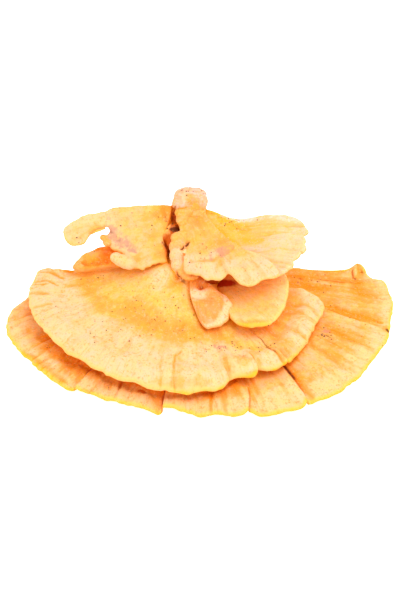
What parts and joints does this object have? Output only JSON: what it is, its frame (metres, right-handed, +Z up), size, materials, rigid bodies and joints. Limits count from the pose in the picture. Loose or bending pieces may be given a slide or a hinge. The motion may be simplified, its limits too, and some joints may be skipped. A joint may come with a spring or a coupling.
{
  "type": "chicken of the woods mushroom",
  "caption": "Cluster of overlapping fan-shaped bracket fungus shelves that fork from one knobbed neck, cut flat at its foot to rest on a surface.",
  "frame": {"origin": "on the flat cut under the neck, straight below the knob at the top", "axes": "+X to the right along the widest span, -Y towards the side that the shelves grow to, +Z up from the cut"},
  "size_m": [0.3239, 0.1814, 0.113],
  "materials": {
    "neck_flesh": "matt, slightly waxy fungus flesh, pink and gold",
    "upper_flesh": "matt fungus flesh, gold with a pale margin",
    "orange_flesh": "matt fungus flesh, orange with a yellow edge",
    "golden_flesh": "matt fungus flesh, golden centre and pale cream margin with a yellow edge",
    "bottom_flesh": "matt fungus flesh, peach and orange in radial streaks with a yellow edge"
  },
  "bodies": {
    "root": {"neck": "neck_flesh", "centre_flap": "upper_flesh", "left_fan": "upper_flesh", "right_fan": "upper_flesh", "round_shelf": "orange_flesh", "tongue": "orange_flesh", "left_lobe": "orange_flesh", "middle_shelf": "golden_flesh", "bottom_shelf": "bottom_flesh"}
  },
  "joints": []
}
